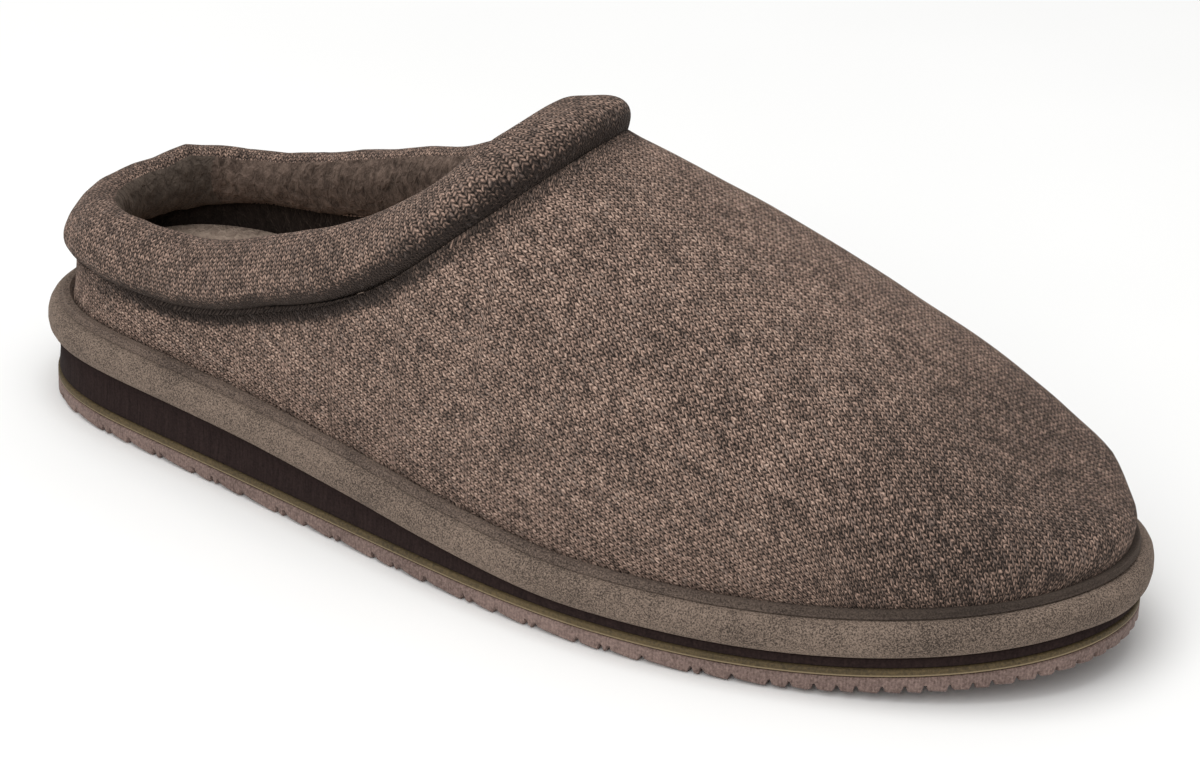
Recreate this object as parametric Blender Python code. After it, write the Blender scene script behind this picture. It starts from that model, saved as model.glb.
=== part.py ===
"""Scuff slipper for the right foot: a knitted upper with a padded roll collar, on a layered sole.

Metres. +X runs to the toe, +Y to the medial side (the wearer's left), +Z up. The sole stands on z = 0
and the origin is the middle of the bounding box, seen from above.
"""

import math

import bmesh
import bpy
import numpy as np

for old in list(bpy.data.objects):
    bpy.data.objects.remove(old, do_unlink=True)

# ---------------------------------------------------------------- last and footprint
SOLE_LENGTH = 0.300
BALL_WIDTH = 0.1068
HEEL_ROUND = 0.039
TOE_ROUND = 0.035
TIP_SWING = 0.0053
TOE_SPRING = 0.0078
SPRING_FROM = 0.72

# ---------------------------------------------------------------- sole layers
GAP = 0.0003
RUBBER_THICK = 0.00435
LUG_DEPTH = 0.0025
LUG_REACH = 0.009
LUG_SLOPE = 0.0004
LUGS_A_SIDE = 33
NOTCH_SHARE = 0.27
BAR_SLOPE = 0.0016
RIM_THICK = 0.0022
MIDSOLE_HEEL = 0.0104
BAND_HEIGHT = 0.0095
BAND_OVERHANG = 0.0024

# ---------------------------------------------------------------- upper, collar, insole
FEATHER_INSET = 0.004
WALL = 0.003
WIDEST_HEIGHT = 0.011
INSTEP_HEIGHT = 0.082
SECTION_ACROSS = 2.5
SECTION_UP = 2.3
TOE_FULLNESS = 2.6
TOE_FROM = 0.80
HEEL_TO = 0.10
COLLAR_TALL = 0.0180
COLLAR_THICK = 0.0128
COLLAR_SHIFT = 0.0017
STRIP_TALL = 0.0030
STRIP_THICK = 0.0026
INSOLE_THICK = 0.0055
INSOLE_CUP = 0.0016
INSOLE_CLEARANCE = 0.0012

AROUND = 96
AROUND_UPPER = 84
ROWS_OUTER = 11
ROWS_INNER = 8
ROW_CROWDING = 0.8
COLLAR_POINTS = 12

# Reach of the outline from its middle line, as shares of the ball width.
OUTLINE = (
    # along, lateral, medial
    (0.06, 0.288, 0.300),
    (0.16, 0.365, 0.369),
    (0.32, 0.441, 0.361),
    (0.48, 0.519, 0.360),
    (0.64, 0.565, 0.435),
    (0.78, 0.514, 0.473),
    (0.90, 0.388, 0.390),
)

# Thickness of the foam wedge, as shares of its thickness at the heel.
WEDGE = (
    # along, thickness
    (0.00, 0.96),
    (0.12, 1.00),
    (0.25, 0.96),
    (0.38, 0.77),
    (0.50, 0.48),
    (0.62, 0.27),
    (0.80, 0.27),
    (1.00, 0.29),
)

# Side profile of the last above the platform, as shares of the instep height. The crest is the top
# line of the foot, and the seam is the line on which the collar is sewn.
PROFILE = (
    # along, crest, seam
    (0.00, 0.66, 0.150),
    (0.10, 0.81, 0.185),
    (0.20, 0.90, 0.225),
    (0.30, 0.96, 0.357),
    (0.40, 1.00, 0.559),
    (0.50, 0.988, 0.902),
    (0.60, 0.896, 1.250),
    (0.70, 0.757, 1.500),
    (0.80, 0.585, 1.600),
    (0.88, 0.415, 1.600),
    (0.94, 0.260, 1.600),
    (1.00, 0.140, 1.600),
)

# Inset of the upper's widest line from the sole's edge, as shares of the feather inset, and its
# height above the platform, as shares of the widest height.
BULGE = (
    # along, inset, height
    (0.00, 1.25, 0.55),
    (0.12, 0.80, 0.70),
    (0.35, 0.72, 1.00),
    (0.80, 0.65, 1.00),
    (1.00, 1.15, 1.00),
)

# Where a point of the sole's outline lands along the opening, from the heel to the throat.
OPENING = (
    # along sole, along opening
    (0.0, 0.0),
    (0.1, 0.17),
    (0.2, 0.34),
    (0.3, 0.52),
    (0.4, 0.68),
    (0.5, 0.81),
    (0.6, 0.89),
    (0.7, 0.94),
    (0.8, 0.973),
    (0.9, 0.992),
    (1.0, 1.0),
)

# Collar roll from the heel to the throat: tall and thick as shares of the roll's sizes, lean in degrees.
ROLL = (
    # along opening, tall, thick, lean
    (0.0, 0.98, 0.98, 24.0),
    (0.6, 0.98, 0.98, 24.0),
    (1.0, 1.05, 1.09, 85.0),
)

# Edge of the platform from its underside to its top: out as a share of the overhang, up as a share
# of the band's height.
BAND_EDGE = (
    # out, up
    (-0.40, 0.00),
    (0.55, 0.10),
    (1.00, 0.42),
    (0.85, 0.75),
    (0.30, 0.94),
    (-0.60, 1.00),
)

COLOURS = {
    "rubber": (0.115, 0.085, 0.075),
    "rim": (0.060, 0.052, 0.040),
    "foam": (0.020, 0.017, 0.015),
    "suede": (0.110, 0.092, 0.078),
    "knit": (0.160, 0.125, 0.108),
    "fleece": (0.130, 0.105, 0.090),
}


def column(table, index):
    return np.array([row[index] for row in table])


def spline(xs, ys, x):
    """Cubic spline through the points, level at both ends."""
    xs = np.asarray(xs, float)
    ys = np.asarray(ys, float)
    h = np.diff(xs)
    count = len(xs)
    a = np.zeros((count, count))
    b = np.zeros(count)
    a[0, 0] = 1.0
    a[-1, -1] = 1.0
    for i in range(1, count - 1):
        a[i, i - 1] = 1 / h[i - 1]
        a[i, i] = 2 * (1 / h[i - 1] + 1 / h[i])
        a[i, i + 1] = 1 / h[i]
        b[i] = 3 * ((ys[i] - ys[i - 1]) / h[i - 1] ** 2 + (ys[i + 1] - ys[i]) / h[i] ** 2)
    return hermite(xs, ys, np.linalg.solve(a, b), x)


def smooth_curve(xs, ys, x):
    """Cubic curve through the points that never overshoots them."""
    xs = np.asarray(xs, float)
    ys = np.asarray(ys, float)
    h = np.diff(xs)
    rise = np.diff(ys) / h
    slope = np.zeros(len(xs))
    for i in range(1, len(xs) - 1):
        if rise[i - 1] * rise[i] > 0:
            w1 = 2 * h[i] + h[i - 1]
            w2 = h[i] + 2 * h[i - 1]
            slope[i] = (w1 + w2) / (w1 / rise[i - 1] + w2 / rise[i])
    slope[0] = rise[0]
    slope[-1] = rise[-1]
    return hermite(xs, ys, slope, x)


def hermite(xs, ys, slope, x):
    x = np.clip(np.asarray(x, float), xs[0], xs[-1])
    i = np.clip(np.searchsorted(xs, x, side="right") - 1, 0, len(xs) - 2)
    h = xs[i + 1] - xs[i]
    t = (x - xs[i]) / h
    start = ys[i] * (1 + 2 * t) * (1 - t) ** 2 + h * slope[i] * t * (1 - t) ** 2
    end = ys[i + 1] * t * t * (3 - 2 * t) + h * slope[i + 1] * t * t * (t - 1)
    return start + end


def ease(t):
    t = np.clip(t, 0, 1)
    return t * t * (3 - 2 * t)


# ---------------------------------------------------------------- outline
def middle_line(along):
    """Sideways place of the foot's middle line, which swings to the big toe."""
    return TIP_SWING * ease((np.asarray(along) - 0.45) / 0.55)


def outline(turn, inset=0.0):
    """Plan points at these turns, from 0 at the heel along the lateral side to pi at the toe and back.

    inset is one length, or one length for each point.
    """
    turn = np.asarray(turn, float)

    def plan(angle):
        angle = np.mod(angle, 2 * np.pi)
        lateral = angle <= np.pi
        half = np.where(lateral, angle, 2 * np.pi - angle)
        knots = np.arccos(1 - 2 * column(OUTLINE, 0))
        knots = np.concatenate([[0], knots, [np.pi]])
        ends = np.sqrt(np.array([HEEL_ROUND, TOE_ROUND]) * SOLE_LENGTH / 2)
        reach = []
        for side in (1, 2):
            middle = BALL_WIDTH * column(OUTLINE, side) / np.sin(knots[1:-1])
            table = np.concatenate([ends[:1], middle, ends[1:]])
            reach.append(spline(knots, table, half))
        width = np.sin(half) * np.where(lateral, -reach[0], reach[1])
        along = (1 - np.cos(half)) / 2
        return np.stack([SOLE_LENGTH * (along - 0.5), middle_line(along) + width], -1)

    step = 1e-4
    direction = plan(turn + step) - plan(turn - step)
    direction /= np.linalg.norm(direction, axis=-1, keepdims=True)
    outward = np.stack([direction[..., 1], -direction[..., 0]], -1)
    return plan(turn) - outward * np.reshape(inset * np.ones(turn.shape), turn.shape + (1,))


def turns(count):
    return np.arange(count) * 2 * np.pi / count


def along_sole(x):
    return np.clip(np.asarray(x) / SOLE_LENGTH + 0.5, 0, 1)


def floor_line(x):
    """Height of the tread above the floor: nothing up to the ball, then the toe spring."""
    past = np.clip((along_sole(x) - SPRING_FROM) / (1 - SPRING_FROM), 0, 1)
    return TOE_SPRING * past**2


def rubber_top(x):
    return floor_line(x) + RUBBER_THICK


def rim_top(x):
    return rubber_top(x) + RIM_THICK


def midsole_top(x):
    wedge = smooth_curve(column(WEDGE, 0), column(WEDGE, 1), along_sole(x))
    return rim_top(x) + MIDSOLE_HEEL * wedge


def platform_top(x):
    return midsole_top(x) + BAND_HEIGHT


# The bounding box in plan is that of the platform's overhanging edge.
EDGE = outline(turns(720), -BAND_OVERHANG)
CENTRE = (EDGE.max(axis=0) + EDGE.min(axis=0)) / 2


# ---------------------------------------------------------------- last
def widest_inset(along):
    return FEATHER_INSET * smooth_curve(column(BULGE, 0), column(BULGE, 1), along)


def widest_height(x):
    lift = smooth_curve(column(BULGE, 0), column(BULGE, 2), along_sole(x))
    return platform_top(x) + WIDEST_HEIGHT * lift


def share_of_turn(turn):
    return (1 - np.cos(turn)) / 2


FINE = np.linspace(0, 2 * np.pi, 1441)
WIDEST = outline(FINE, widest_inset(share_of_turn(FINE)))
LATERAL = WIDEST[:721]
MEDIAL = WIDEST[720:][::-1]
BACK = WIDEST[:, 0].min()
FRONT = WIDEST[:, 0].max()


def crest_height(x):
    """Top line of the last, closed down to the widest line in a round at the toe and at the heel."""
    base = widest_height(x)
    share = np.clip((x - BACK) / (FRONT - BACK), 0, 1)
    table = platform_top(x) + INSTEP_HEIGHT * spline(column(PROFILE, 0), column(PROFILE, 1), share)
    toe = np.clip((share - TOE_FROM) / (1 - TOE_FROM), 0, 1)
    heel = np.clip((HEEL_TO - share) / HEEL_TO, 0, 1)
    closing = np.sqrt(1 - toe**TOE_FULLNESS) * (1 - heel**2.5) ** 0.4
    return base + (table - base) * closing


def seam_height(x):
    return platform_top(x) + INSTEP_HEIGHT * spline(column(PROFILE, 0), column(PROFILE, 2), along_sole(x))


def sides(x):
    return np.interp(x, LATERAL[:, 0], LATERAL[:, 1]), np.interp(x, MEDIAL[:, 0], MEDIAL[:, 1])


def fullness(p):
    """Under 1 inside the last and over 1 outside it: a rounded section across, at each place along."""
    x = p[..., 0]
    y = p[..., 1]
    lateral, medial = sides(x)
    middle = middle_line(along_sole(x))
    half = np.where(y < middle, middle - lateral, medial - middle)
    base = widest_height(x)
    tall = np.maximum(crest_height(x) - base, 1e-6)
    across = np.abs(y - middle) / np.maximum(half, 1e-6)
    up = np.maximum(p[..., 2] - base, 0) / tall
    value = across**SECTION_ACROSS + up**SECTION_UP
    return np.where((x <= BACK) | (x >= FRONT), 9.0, value)


def cast(start, direction):
    """Where rays from inside the last leave it."""
    low = np.zeros(direction.shape[:-1])
    high = np.full(direction.shape[:-1], SOLE_LENGTH)
    for _ in range(40):
        middle = (low + high) / 2
        inside = fullness(start + direction * middle[..., None]) < 1
        low = np.where(inside, middle, low)
        high = np.where(inside, high, middle)
    return start + direction * low[..., None]


def seam_line(turn):
    """The line on the last at which the upper ends and the collar is sewn on."""
    x = np.linspace(BACK + 1e-5, FRONT - 1e-3, 3000)
    above = crest_height(x) - seam_height(x)
    first = int(np.argmax(above > 0))
    last = first + int(np.argmax(above[first:] <= 0))
    throat = np.interp(0, [above[last], above[last - 1]], [x[last], x[last - 1]])
    share = smooth_curve(column(OPENING, 0), column(OPENING, 1), share_of_turn(turn))
    x = x[first] + (throat - x[first]) * share
    z = seam_height(x)
    base = widest_height(x)
    tall = np.maximum(crest_height(x) - base, 1e-6)
    up = np.clip(np.maximum(z - base, 0) / tall, 0, 1)
    across = (1 - up**SECTION_UP) ** (1 / SECTION_ACROSS)
    lateral, medial = sides(x)
    middle = middle_line(along_sole(x))
    y = np.where(turn <= np.pi, middle + (lateral - middle) * across, middle + (medial - middle) * across)
    return np.stack([x, y, z], -1)


def unit(v):
    return v / np.linalg.norm(v, axis=-1, keepdims=True)


def upper_surface(count, rows):
    """Outer face of the upper: points around by rows up, from the feather line to the seam."""
    turn = turns(count)
    share = share_of_turn(turn)
    feather = outline(turn, FEATHER_INSET)
    feather = np.column_stack([feather, platform_top(feather[:, 0]) + GAP])
    widest = outline(turn, widest_inset(share))
    widest = np.column_stack([widest, widest_height(widest[:, 0])])
    seam = seam_line(turn)
    x = SOLE_LENGTH * np.interp(share, [0, 0.15, 0.6, 1], [-0.34, -0.30, 0.10, 0.20])
    start = np.column_stack([x, middle_line(along_sole(x)), widest_height(x)])
    first = unit(widest - start)
    last = unit(seam - start)
    angle = np.arccos(np.clip((first * last).sum(1), -1, 1))[:, None]
    t = np.linspace(0, 1, 80)[None, :]
    weight_first = np.sin((1 - t) * angle) / np.sin(angle)
    weight_last = np.sin(t * angle) / np.sin(angle)
    direction = weight_first[..., None] * first[:, None] + weight_last[..., None] * last[:, None]
    face = cast(np.repeat(start[:, None], t.size, axis=1), direction)
    face[:, 0] = widest
    face[:, -1] = seam
    q = np.linspace(0, 1, 12)[:-1]
    blend = np.stack([np.sin(q * np.pi / 2), np.sin(q * np.pi / 2), q], 1)[None]
    low = feather[:, None] + (widest - feather)[:, None] * blend
    path = np.concatenate([low, face], axis=1)
    steps = np.linalg.norm(np.diff(path, axis=1), axis=2)
    arc = np.concatenate([np.zeros((count, 1)), np.cumsum(steps, axis=1)], axis=1)
    out = np.empty((count, rows + 1, 3))
    # The long columns over the toe have their rows closer together at the foot, where they curve most.
    crowd = 1 + ROW_CROWDING * ease(share)
    for i in range(count):
        at = np.linspace(0, 1, rows + 1) ** crowd[i] * arc[i, -1]
        for axis in range(3):
            out[i, :, axis] = np.interp(at, arc[i], path[i, :, axis])
    return out


def collar_frame(line):
    """Along, up and out directions of the roll at each point of the seam, and the share from heel to throat."""
    tangent = unit(np.roll(line, -1, axis=0) - np.roll(line, 1, axis=0))
    flat = unit(tangent * np.array([1.0, 1.0, 0.0]))
    out = np.stack([flat[:, 1], -flat[:, 0], np.zeros(len(line))], -1)
    up = np.cross(out, tangent)
    up = up * np.sign(up[:, 2:3])
    share = (line[:, 0] - line[:, 0].min()) / np.ptp(line[:, 0])
    lean = np.radians(smooth_curve(column(ROLL, 0), column(ROLL, 3), share))[:, None]
    return up * np.cos(lean) - out * np.sin(lean), out * np.cos(lean) + up * np.sin(lean), share


def upper_rings():
    outer = upper_surface(AROUND_UPPER, ROWS_OUTER)
    inner = upper_surface(AROUND_UPPER, ROWS_INNER)
    around = np.roll(inner, -1, axis=0) - np.roll(inner, 1, axis=0)
    normal = unit(np.cross(around, np.gradient(inner, axis=1)))
    towards = inner - np.array([0.0, 0.0, 0.04])
    towards = towards - towards.mean(axis=(0, 1))
    if (normal * towards).sum() < 0:
        normal = -normal
    _, out, _ = collar_frame(inner[:, -1])
    # The foot of the wall stands square on the platform and its top is cut square to the roll.
    turn = turns(AROUND_UPPER)
    flat = outline(turn) - outline(turn, 0.001)
    flat = unit(np.column_stack([flat, np.zeros(len(flat))]))
    for row in range(ROWS_INNER + 1):
        foot = float(ease(1 - row / 2))
        top = float(ease(1 - (ROWS_INNER - row) / 2.5))
        normal[:, row] = unit(normal[:, row] * (1 - foot) + flat * foot)
        normal[:, row] = unit(normal[:, row] * (1 - top) + out * top)
    inner = inner - normal * WALL
    inner[:, 0, 2] = platform_top(inner[:, 0, 0]) + GAP
    rings = [outer[:, row] for row in range(ROWS_OUTER + 1)]
    return rings + [inner[:, row] for row in range(ROWS_INNER, -1, -1)]


def collar_rings():
    line = seam_line(turns(AROUND_UPPER))
    up, out, share = collar_frame(line)
    tall = COLLAR_TALL * smooth_curve(column(ROLL, 0), column(ROLL, 1), share)[:, None]
    thick = COLLAR_THICK * smooth_curve(column(ROLL, 0), column(ROLL, 2), share)[:, None]
    core = line + up * (tall / 2 + GAP) - out * COLLAR_SHIFT
    rings = []
    for angle in turns(COLLAR_POINTS):
        rings.append(core + up * (tall / 2 * math.sin(angle)) + out * (thick / 2 * math.cos(angle)))
    return rings


# ---------------------------------------------------------------- meshes
def material(name, colour, roughness):
    made = bpy.data.materials.new(name)
    made.use_nodes = True
    shader = made.node_tree.nodes["Principled BSDF"]
    shader.inputs["Base Color"].default_value = (*colour, 1.0)
    shader.inputs["Roughness"].default_value = roughness
    return made


def add_ring(bm, points):
    """A closed loop of edges through these points, moved into the part's own frame."""
    verts = [bm.verts.new((p[0] - CENTRE[0], p[1] - CENTRE[1], p[2])) for p in points]
    return verts, [bm.edges.new((a, b)) for a, b in zip(verts, verts[1:] + verts[:1])]


def add_cap(bm, verts):
    """Closes a ring by rungs from its lateral half to its medial half. Returns the new faces."""
    count = len(verts)
    half = count // 2
    chains = [verts[1:half], verts[half + 1 :]]
    edges = [bm.edges.get((a, b)) for chain in chains for a, b in zip(chain, chain[1:])]
    made = bmesh.ops.bridge_loops(bm, edges=edges)["faces"]
    for tip in (0, half):
        corner = [verts[tip], verts[tip - 1], verts[(tip + 1) % count]]
        made += bmesh.ops.contextual_create(bm, geom=corner)["faces"]
    return made


def skin(bm, rings, closed=False):
    """Joins the rings in turn. Returns the vertices of the first and of the last."""
    made = [add_ring(bm, ring) for ring in rings]
    pairs = list(zip(made, made[1:]))
    if closed:
        pairs.append((made[-1], made[0]))
    for first, second in pairs:
        bmesh.ops.bridge_loops(bm, edges=first[1] + second[1])
    return made[0][0], made[-1][0]


def finish(bm, name, look):
    bmesh.ops.recalc_face_normals(bm, faces=bm.faces)
    mesh = bpy.data.meshes.new(name)
    bm.to_mesh(mesh)
    bm.free()
    mesh.shade_smooth()
    mesh.set_sharp_from_angle(angle=math.radians(40))
    obj = bpy.data.objects.new(name, mesh)
    obj.data.materials.append(look)
    bpy.context.scene.collection.objects.link(obj)
    return obj


def level(plan, height, lift=0.0):
    """Plan points set at the height that a layer's face has there."""
    return np.column_stack([plan, height(plan[:, 0]) + lift])


def make_slab(name, look, bottom, top, inset):
    plan = outline(turns(AROUND), inset)
    bm = bmesh.new()
    first, last = skin(bm, [level(plan, bottom, GAP), level(plan, top)])
    add_cap(bm, first)
    add_cap(bm, last)
    return finish(bm, name, look)


def lug_turns():
    """Turns at the two ends of every lug and notch, alike on both sides so that the lugs face each other."""
    fine = np.linspace(0, np.pi, 2001)
    steps = np.linalg.norm(np.diff(outline(fine), axis=0), axis=1)
    arc = np.concatenate([[0], np.cumsum(steps)])
    pitch = arc[-1] / LUGS_A_SIDE
    notch = pitch * NOTCH_SHARE / 2
    places = []
    deep = []
    for k in range(LUGS_A_SIDE):
        middle = pitch * (k + 0.5)
        places += [middle - notch - LUG_SLOPE, middle - notch, middle + notch, middle + notch + LUG_SLOPE]
        deep += [False, True, True, False]
    lateral = np.interp(places, arc, fine)
    turn = np.concatenate([[0], lateral, [np.pi], (2 * np.pi - lateral)[::-1]])
    return turn, np.array([False] + deep + [False] + deep[::-1])


def make_outsole(look):
    turn, deep = lug_turns()
    lift = np.where(deep, LUG_DEPTH, 0.0)
    edge = outline(turn)
    tread = outline(turn, LUG_REACH)
    inner = outline(turn, LUG_REACH + 2 * LUG_SLOPE)
    bm = bmesh.new()
    rings = [level(edge, rubber_top), level(edge, floor_line, lift), level(tread, floor_line, lift)]
    first, last = skin(bm, rings + [level(inner, floor_line, LUG_DEPTH)])
    add_cap(bm, first)
    recess = add_cap(bm, last)
    bmesh.ops.recalc_face_normals(bm, faces=bm.faces)
    # Bars across the tread, one between each pair of facing lugs, left out under the arch.
    bars = []
    for face in recess:
        xs = [v.co.x + CENTRE[0] for v in face.verts]
        place = float(along_sole(sum(xs) / len(xs)))
        wide = max(xs) - min(xs) > 0.0065
        if wide and (0.07 < place < 0.36 or 0.52 < place < 0.93):
            bars.append(face)
    bmesh.ops.inset_individual(bm, faces=bars, thickness=BAR_SLOPE, depth=LUG_DEPTH, use_even_offset=True)
    return finish(bm, "outsole", look)


def make_platform(look):
    bm = bmesh.new()
    rings = []
    for out, up in BAND_EDGE:
        plan = outline(turns(AROUND), -BAND_OVERHANG * out)
        z = midsole_top(plan[:, 0]) + GAP + (BAND_HEIGHT - GAP) * up
        rings.append(np.column_stack([plan, z]))
    first, last = skin(bm, rings)
    add_cap(bm, first)
    add_cap(bm, last)
    return finish(bm, "platform", look)


def make_strip(look):
    """Narrow strip that stands on the platform round the foot of the upper."""
    bm = bmesh.new()
    rings = []
    inner = FEATHER_INSET - GAP
    for out, up in ((0, 0), (0.85, 0), (1, 0.45), (0.75, 0.9), (0.3, 1), (0.12, 0.9)):
        plan = outline(turns(AROUND), inner - STRIP_THICK * out)
        rings.append(level(plan, platform_top, GAP + STRIP_TALL * up))
    skin(bm, rings, closed=True)
    return finish(bm, "welt_strip", look)


def make_insole(look):
    bm = bmesh.new()
    rings = []
    edge = FEATHER_INSET + WALL + INSOLE_CLEARANCE
    for inset, up in ((0.0, 0.0), (0.0, 0.7), (0.0015, 1.0), (0.012, 1.0)):
        plan = outline(turns(AROUND), edge + inset)
        sunk = INSOLE_CUP if inset > 0.01 else 0.0
        rings.append(level(plan, platform_top, GAP + INSOLE_THICK * up - sunk))
    first, last = skin(bm, rings)
    add_cap(bm, first)
    add_cap(bm, last)
    return finish(bm, "insole", look)


def make_upper(look):
    bm = bmesh.new()
    skin(bm, upper_rings(), closed=True)
    return finish(bm, "upper", look)


def make_collar(look):
    bm = bmesh.new()
    skin(bm, collar_rings(), closed=True)
    return finish(bm, "collar", look)


def build():
    suede = material("suede", COLOURS["suede"], 0.9)
    make_outsole(material("rubber", COLOURS["rubber"], 0.75))
    make_slab("outsole_rim", material("rim_rubber", COLOURS["rim"], 0.7), rubber_top, rim_top, 0.0)
    make_slab("midsole", material("foam", COLOURS["foam"], 0.8), rim_top, midsole_top, GAP)
    make_platform(suede)
    make_strip(material("strip_suede", COLOURS["suede"], 0.9))
    make_upper(material("knit", COLOURS["knit"], 0.95))
    make_collar(material("collar_knit", COLOURS["knit"], 0.95))
    make_insole(material("fleece", COLOURS["fleece"], 0.95))


build()
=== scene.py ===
"""Looks of a backed scuff slipper: heathered wool knit, fleece lining, suede platform, foam wedge, rubber sole.

Everything is in metres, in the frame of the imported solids: +X to the toe, +Y to the medial side, +Z up.
"""

import math

import bmesh
import bpy
import numpy as np
from mathutils import Matrix, Vector, noise
from mathutils.bvhtree import BVHTree


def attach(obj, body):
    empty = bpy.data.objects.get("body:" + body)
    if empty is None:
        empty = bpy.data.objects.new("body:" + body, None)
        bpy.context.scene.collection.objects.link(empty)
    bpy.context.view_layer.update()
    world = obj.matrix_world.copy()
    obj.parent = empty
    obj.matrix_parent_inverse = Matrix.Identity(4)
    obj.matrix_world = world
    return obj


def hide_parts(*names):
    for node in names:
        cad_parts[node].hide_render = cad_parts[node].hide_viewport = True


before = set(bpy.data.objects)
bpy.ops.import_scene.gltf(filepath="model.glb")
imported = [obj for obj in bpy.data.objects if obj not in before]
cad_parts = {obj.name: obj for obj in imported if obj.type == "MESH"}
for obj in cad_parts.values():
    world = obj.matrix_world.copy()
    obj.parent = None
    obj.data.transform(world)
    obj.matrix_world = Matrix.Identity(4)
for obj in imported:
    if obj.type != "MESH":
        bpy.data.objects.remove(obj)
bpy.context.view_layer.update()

MM = 0.001

# Sizes that the solids are made with.
GAP = 0.0003
RUBBER_THICK = 0.00435
BAND_HEIGHT = 0.0095
BAND_OVERHANG = 0.0024
STRIP_INSET = 0.0037
INSOLE_EDGE = 0.0082
INSOLE_THICK = 0.0055
INSOLE_CUP = 0.0016
LUG_DEPTH = 0.0025
STRIP_WIDE = 0.0026
STRIP_TALL = 0.003

# Points that lie closer than this are one point.
SAME_SPOT = 2e-6


# ---------------------------------------------------------------- camera, floor and light
def make_camera():
    """Long lens from the toe side of the outer flank, level with a viewer who looks down at the floor."""
    place = Vector((0.53743, -0.88485, 0.53821))
    aim = Vector((0.00751, 0.00255, 0.03637))
    back = (place - aim).normalized()
    right = Vector((-back.y, back.x, 0)).normalized()
    up = back.cross(right)
    roll = math.radians(2.4585)
    across = right * math.cos(roll) + up * math.sin(roll)
    tall = up * math.cos(roll) - right * math.sin(roll)
    data = bpy.data.cameras.new("camera")
    data.lens = 140.827
    data.sensor_width = 36.0
    camera = bpy.data.objects.new("camera", data)
    camera.matrix_world = Matrix.Translation(place) @ Matrix((across, tall, back)).transposed().to_4x4()
    bpy.context.scene.collection.objects.link(camera)
    bpy.context.scene.camera = camera


def make_light(name, place, aim, size, power):
    data = bpy.data.lights.new(name, "AREA")
    data.shape = "DISK"
    data.size = size
    data.energy = power
    light = bpy.data.objects.new(name, data)
    turn = (Vector(place) - Vector(aim)).to_track_quat("Z", "Y")
    light.matrix_world = Matrix.Translation(place) @ turn.to_matrix().to_4x4()
    bpy.context.scene.collection.objects.link(light)


def make_studio():
    scene = bpy.context.scene
    scene.view_settings.view_transform = "Standard"
    scene.world = bpy.data.worlds.new("studio")
    scene.world.use_nodes = True
    sky = scene.world.node_tree.nodes["Background"]
    sky.inputs["Color"].default_value = (1.0, 1.0, 1.0, 1.0)
    sky.inputs["Strength"].default_value = 0.55
    make_light("overhead_softbox", (-0.05, -0.20, 1.6), (0, 0, 0.03), 1.4, 13.0)
    make_light("outer_side_softbox", (0.05, -1.40, 1.15), (0, 0, 0.03), 1.5, 11.5)
    bm = bmesh.new()
    bmesh.ops.create_grid(bm, x_segments=8, y_segments=8, size=4.0)
    floor = put("studio_floor", bm, [matt_paper()])


# ---------------------------------------------------------------- materials
# A noise's Scale is how many lumps it has to the metre, so 1000 / Scale is their size in mm. Single fibres,
# foam cells and mould grain are finer than the picture can show, and are drawn 0.4 to 0.7 mm across.
def linear(colour):
    """An sRGB hex colour as linear numbers."""
    parts = [int(colour[i : i + 2], 16) / 255 for i in (1, 3, 5)]
    return tuple(c / 12.92 if c <= 0.04045 else ((c + 0.055) / 1.055) ** 2.4 for c in parts) + (1.0,)


def add(look, kind, sockets=None, stops=(), **settings):
    """Adds a node to a material and returns its outputs.

    sockets holds a value or another node's output for each input, stops the places and colours of a colour
    ramp, and settings the node's own properties.
    """
    made = look.node_tree.nodes.new("ShaderNode" + kind)
    for name, value in settings.items():
        setattr(made, name, value)
    while stops and len(made.color_ramp.elements) < len(stops):
        made.color_ramp.elements.new(0.5)
    for i, (place, colour) in enumerate(stops):
        made.color_ramp.elements[i].position = place
        made.color_ramp.elements[i].color = linear(colour)
    for key, value in (sockets or {}).items():
        if isinstance(value, bpy.types.NodeSocket):
            look.node_tree.links.new(value, made.inputs[key])
        else:
            made.inputs[key].default_value = value
    return made.outputs


def start(name, **sockets):
    """A new material and its shader, with the numbers that are the same all over the surface."""
    look = bpy.data.materials.new(name)
    look.use_nodes = True
    shader = look.node_tree.nodes["Principled BSDF"]
    for key, value in sockets.items():
        shader.inputs[key.replace("_", " ")].default_value = value
    return look, shader


def dress(look, shader, colour, normal=None):
    """Links the colour, and the bump where there is one, to the shader."""
    for key, value in (("Base Color", colour), ("Normal", normal)):
        if value is not None:
            look.node_tree.links.new(value, shader.inputs[key])
    return look


def matt_paper():
    """Studio paper: pale, without gloss, with the faintest mottling."""
    look, shader = start("matt_studio_paper", Roughness=1.0, Specular_IOR_Level=0.0)
    place = add(look, "TexCoord")["Object"]
    cloud = add(look, "TexNoise", {"Vector": place, "Scale": 6.0, "Detail": 2.0})["Fac"]
    colour = add(look, "ValToRGB", {0: cloud}, stops=[(0.3, "#F5F5F4"), (0.7, "#F8F8F7")])["Color"]
    return dress(look, shader, colour)


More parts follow.
